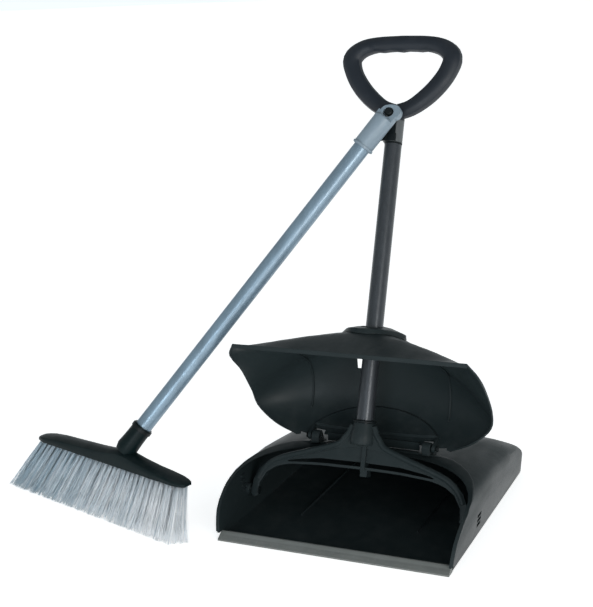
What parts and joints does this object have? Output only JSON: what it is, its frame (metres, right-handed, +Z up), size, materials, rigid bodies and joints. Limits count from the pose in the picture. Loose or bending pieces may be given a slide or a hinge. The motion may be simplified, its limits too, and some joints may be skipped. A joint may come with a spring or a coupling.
{
  "type": "dustpan and brush",
  "caption": "Lobby dustpan with an upright tube handle and D-grip, a hood that shuts over the pan as the handle tilts, and a long-handled broom hooked on the handle's neck.",
  "frame": {"origin": "on the floor, on the pan's centre line, at the lip's front edge", "axes": "+X to the right seen from the front, +Y towards the back of the pan, +Z up"},
  "size_m": [0.7587, 0.4184, 0.6671],
  "materials": {
    "black_plastic": "fine satin, moulded",
    "dark_plastic": "satin",
    "grey_lip": "matt",
    "steel": "satin",
    "tube_grey": "semi-gloss metallic grey",
    "warm_grey_plastic": "satin",
    "grip_plastic": "satin",
    "pale_blue_plastic": "satin",
    "tube_blue": "semi-gloss pale blue grey",
    "green_black_plastic": "gloss",
    "bristle": "fibrous"
  },
  "bodies": {
    "pan": {"pan_shell": "black_plastic", "lip_strip": "grey_lip", "hinge_lug_left": "black_plastic", "hinge_lug_right": "black_plastic", "hinge_pin_left": "dark_plastic", "hinge_pin_right": "dark_plastic", "pivot_pin_left": "dark_plastic", "pivot_pin_right": "dark_plastic"},
    "handle": {"yoke": "black_plastic", "socket_ring": "dark_plastic", "socket_screw": "steel", "pole": "tube_grey", "joint_ring": "dark_plastic", "neck": "warm_grey_plastic", "neck_screw": "steel", "d_grip": "grip_plastic", "broom_peg": "dark_plastic"},
    "lid": {"hood_shell": "black_plastic", "hood_collar": "black_plastic"},
    "broom": {"broom_cap": "pale_blue_plastic", "cap_ring": "pale_blue_plastic", "broom_pole": "tube_blue", "broom_head": "green_black_plastic", "socket_band": "dark_plastic", "bristle_row_1": "bristle", "bristle_row_2": "bristle", "bristle_row_3": "bristle", "bristle_row_4": "bristle"}
  },
  "joints": [
    {"name": "handle_tilt", "type": "hinge", "parent": "pan", "child": "handle", "pos_m": [0, 0.105, 0.036], "axis": [1, 0, 0], "range_deg": [0, 63]},
    {"name": "lid_swing", "type": "hinge", "parent": "pan", "child": "lid", "pos_m": [0, 0.169, 0.1045], "axis": [1, 0, 0], "range_deg": [0, 82]},
    {"name": "broom_unhook", "type": "slide", "parent": "handle", "child": "broom", "axis": [0, -0.866, 0.5], "range_m": [0, 0.05]}
  ],
  "couplings": [
    {"joint": "lid_swing", "follows": "handle_tilt", "ratio": 1.3}
  ]
}
